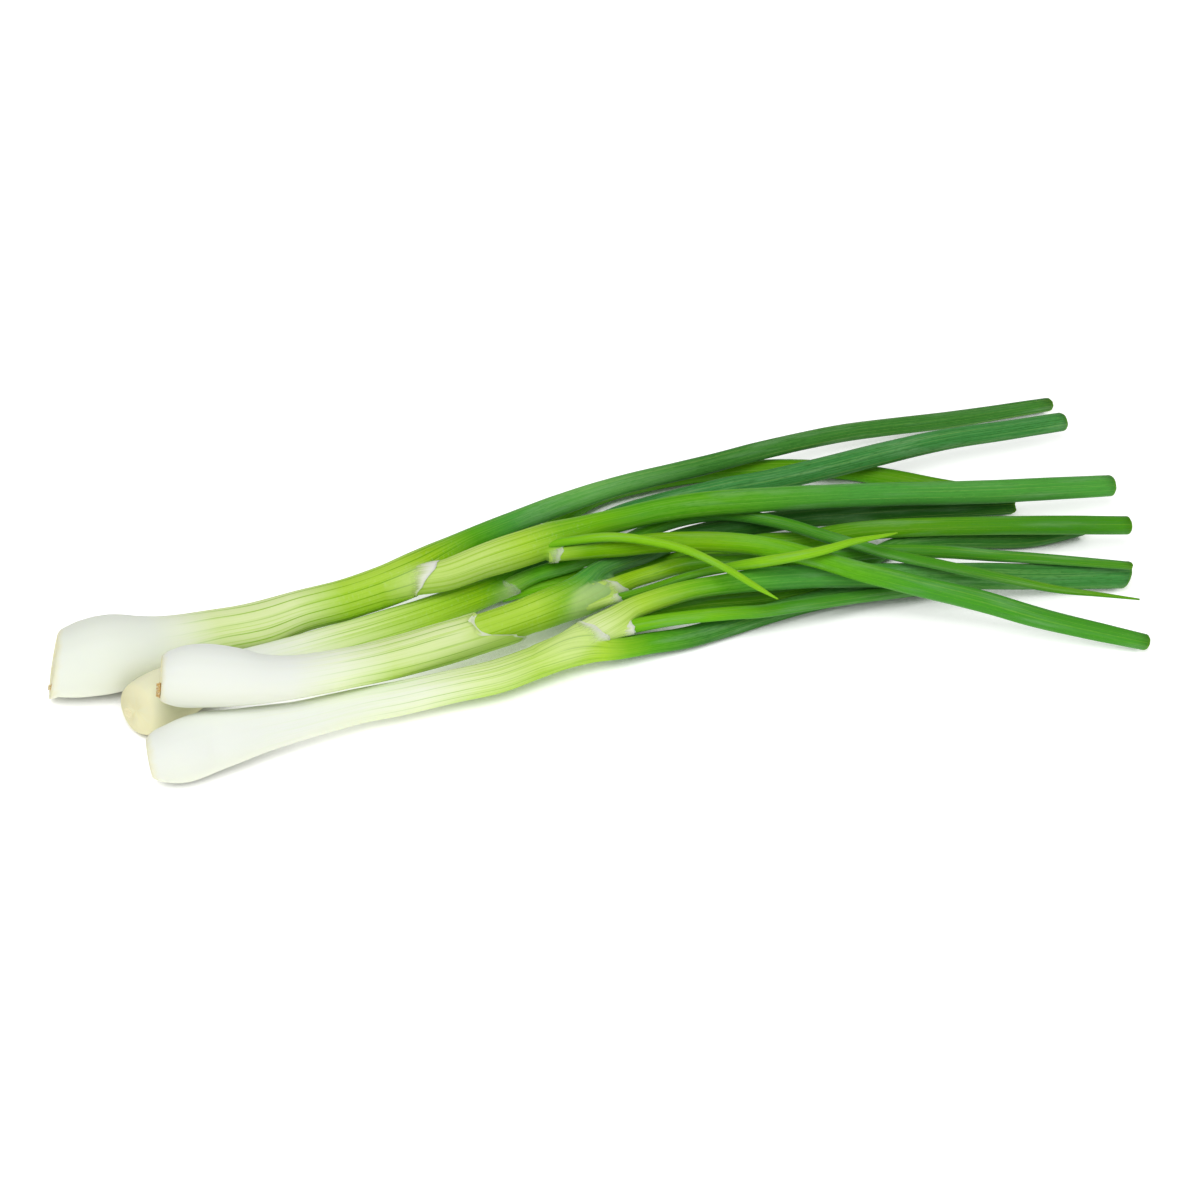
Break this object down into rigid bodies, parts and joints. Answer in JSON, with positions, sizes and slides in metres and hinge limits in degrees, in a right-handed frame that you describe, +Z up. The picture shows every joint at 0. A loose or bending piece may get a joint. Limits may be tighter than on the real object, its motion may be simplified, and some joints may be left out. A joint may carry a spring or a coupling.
{
  "type": "spring onion bunch",
  "caption": "Loose bunch of trimmed spring onions lying on a surface, with white bulbs, pale green shanks and long hollow green leaves",
  "frame": {"origin": "on the surface the bunch lies on, under the middle of its box", "axes": "+X runs along the bunch from the bulbs to the leaf ends, +Y to its back, +Z up"},
  "size_m": [0.3197, 0.1183, 0.0335],
  "materials": {
    "stem_disc": "cream stem plate with tan and rusty stubs of trimmed roots",
    "sheath": "moist waxy white at the bulb, passing to pale green with green lengthwise veins",
    "blade_dark": "deep green leaf with fine lengthwise lines and a thin grey bloom",
    "blade_mid": "satin mid green leaf with fine lengthwise lines",
    "blade_young": "smooth bright yellow-green young leaf"
  },
  "bodies": {
    "root": {"back_stem_disc": "stem_disc", "back_sheath_1": "sheath", "back_blade_1": "blade_dark", "back_sheath_2": "sheath", "back_blade_2": "blade_mid", "back_blade_3": "blade_mid", "back_blade_4": "blade_young", "under_stem_disc": "stem_disc", "under_sheath_1": "sheath", "under_blade_1": "blade_dark", "under_sheath_2": "sheath", "under_blade_2": "blade_young", "under_blade_3": "blade_mid", "under_blade_4": "blade_mid", "top_stem_disc": "stem_disc", "top_sheath_1": "sheath", "top_sheath_2": "sheath", "top_blade_2": "blade_dark", "top_sheath_3": "sheath", "top_blade_3": "blade_young", "top_blade_4": "blade_young", "front_stem_disc": "stem_disc", "front_sheath_1": "sheath", "front_blade_1": "blade_dark", "front_sheath_2": "sheath", "front_blade_2": "blade_mid", "front_blade_3": "blade_mid", "front_blade_4": "blade_dark"}
  },
  "joints": []
}
